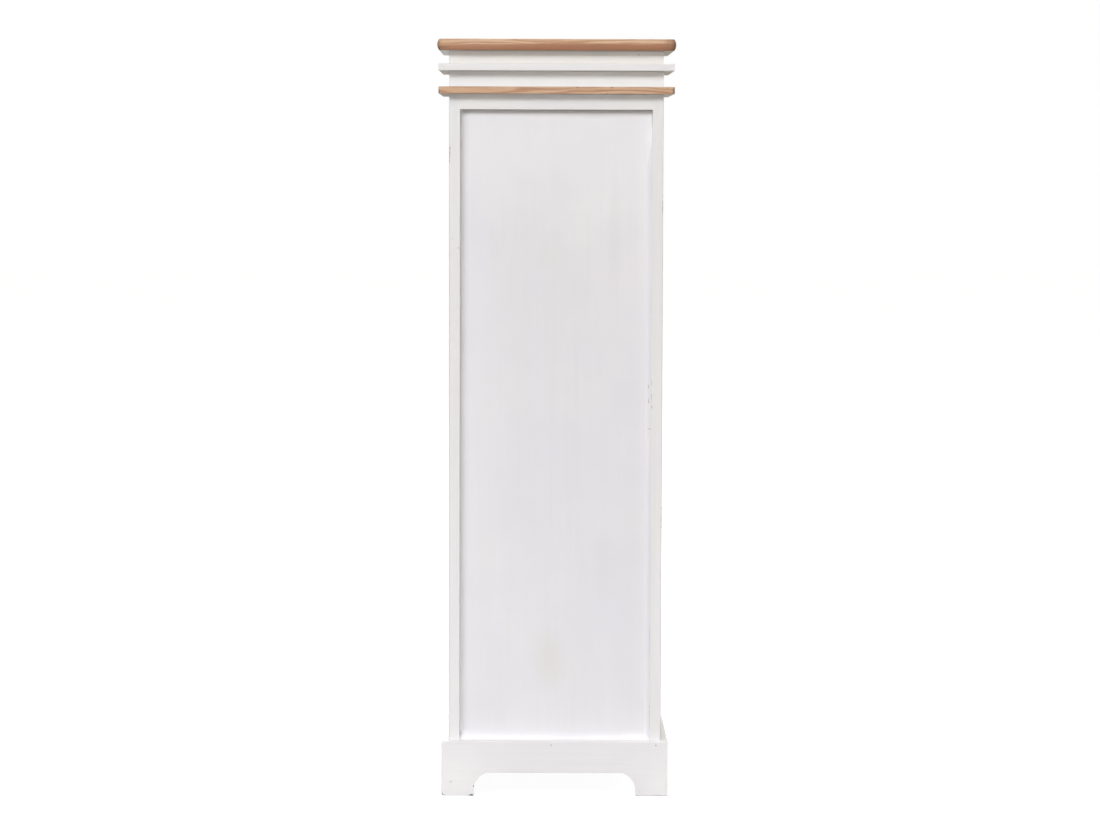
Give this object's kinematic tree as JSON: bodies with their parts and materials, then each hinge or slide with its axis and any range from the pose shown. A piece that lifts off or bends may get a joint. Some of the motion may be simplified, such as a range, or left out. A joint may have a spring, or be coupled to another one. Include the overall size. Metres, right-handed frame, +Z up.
{
  "type": "storage cabinet",
  "caption": "Tall narrow storage cabinet in white paint with natural wood trim: bracket-foot plinth, stepped cornice, framed door with fielded panels below a drawer, shelves inside.",
  "frame": {"origin": "on the floor, under the middle of the cabinet", "axes": "+Z up, the front with the door and the drawer faces -Y, +X to the right seen from the front; the pictured back faces +Y"},
  "size_m": [0.4, 0.3, 1.28],
  "materials": {
    "white_paint": "satin white paint",
    "natural_wood": "oiled, light brown with a reddish grain",
    "bare_wood": "unfinished, planed",
    "hinge_steel": "satin",
    "white_plastic": "matt"
  },
  "bodies": {
    "cabinet": {"upper_band_front": "white_paint", "upper_band_back": "white_paint", "upper_band_left": "white_paint", "upper_band_right": "white_paint", "lower_band_front": "white_paint", "lower_band_back": "white_paint", "lower_band_left": "white_paint", "lower_band_right": "white_paint", "white_cornice_board": "white_paint", "plinth_front": "white_paint", "plinth_back": "white_paint", "plinth_left": "white_paint", "plinth_right": "white_paint", "side_board_left": "white_paint", "side_board_right": "white_paint", "bottom_board": "white_paint", "back_panel": "white_paint", "back_top_rail": "white_paint", "back_bottom_rail": "white_paint", "front_top_rail": "white_paint", "divider_rail": "white_paint", "shelf_1": "white_paint", "shelf_2": "white_paint", "shelf_3": "white_paint", "top_board": "natural_wood", "wood_cornice_board": "natural_wood", "corner_block_front_left": "bare_wood", "corner_block_front_right": "bare_wood", "corner_block_back_left": "bare_wood", "corner_block_back_right": "bare_wood", "drawer_runner_left": "bare_wood", "drawer_runner_right": "bare_wood", "drawer_kicker_left": "bare_wood", "drawer_kicker_right": "bare_wood", "lower_hinge_frame_leaf": "hinge_steel", "lower_hinge_pin": "hinge_steel", "upper_hinge_frame_leaf": "hinge_steel", "upper_hinge_pin": "hinge_steel", "magnetic_catch": "white_plastic"},
    "door": {"door_hinge_stile": "white_paint", "door_knob_stile": "white_paint", "door_bottom_rail": "white_paint", "door_middle_rail": "white_paint", "door_top_rail": "white_paint", "door_lower_panel": "white_paint", "door_upper_panel": "white_paint", "lower_hinge_door_leaf": "hinge_steel", "upper_hinge_door_leaf": "hinge_steel", "catch_strike_plate": "hinge_steel", "door_knob_bolt": "hinge_steel", "door_knob": "natural_wood"},
    "drawer": {"drawer_front": "white_paint", "drawer_side_left": "bare_wood", "drawer_side_right": "bare_wood", "drawer_back": "bare_wood", "drawer_bottom": "bare_wood", "drawer_knob_bolt": "hinge_steel", "drawer_knob": "natural_wood"}
  },
  "joints": [
    {"name": "door_hinge", "type": "hinge", "parent": "cabinet", "child": "door", "pos_m": [-0.161, -0.1335, 0.0955], "axis": [0, 0, -1], "range_deg": [0, 180]},
    {"name": "drawer_slide", "type": "slide", "parent": "cabinet", "child": "drawer", "axis": [0, -1, 0], "range_m": [0, 0.15]}
  ]
}
